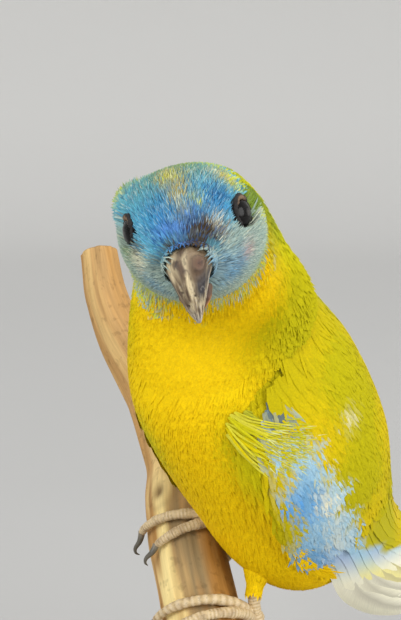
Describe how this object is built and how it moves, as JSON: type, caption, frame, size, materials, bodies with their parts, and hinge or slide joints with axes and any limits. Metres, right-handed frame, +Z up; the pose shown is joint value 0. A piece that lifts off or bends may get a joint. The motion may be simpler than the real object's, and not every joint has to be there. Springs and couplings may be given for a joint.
{
  "type": "turquoise parrot, mounted specimen",
  "caption": "Still, life-size turquoise parrot of the yellow variety, with folded wings and hanging tail, gripping a cut branch on a plain round stand.",
  "frame": {"origin": "centre of the underside of the stand's round base", "axes": "+Z up; the bird's face looks along -Y, with its left side towards +X"},
  "size_m": [0.145, 0.1384, 0.1534],
  "materials": {
    "face_blue": "soft feathers, matt",
    "neck_green": "soft feathers, matt",
    "breast_yellow": "soft feathers, matt",
    "wing_yellow": "smooth feathers, slight sheen",
    "tail_yellow": "smooth feathers, slight sheen",
    "horn": "dry, flaking horn",
    "eye_black": "glossy dark eye",
    "scaly_skin": "dry scaly skin",
    "bare_wood": "bare, weathered branch",
    "stand_wood": "dark satin wood",
    "rod_steel": "brushed"
  },
  "bodies": {
    "root": {"head": "face_blue", "neck": "neck_green", "torso": "breast_yellow", "wing_left": "wing_yellow", "wing_right": "wing_yellow", "tail": "tail_yellow", "beak_upper": "horn", "beak_lower": "horn", "eye_left": "eye_black", "eye_right": "eye_black", "leg_left": "scaly_skin", "leg_right": "scaly_skin", "perch_branch": "bare_wood", "stand_base": "stand_wood", "stand_rod": "rod_steel"}
  },
  "joints": []
}
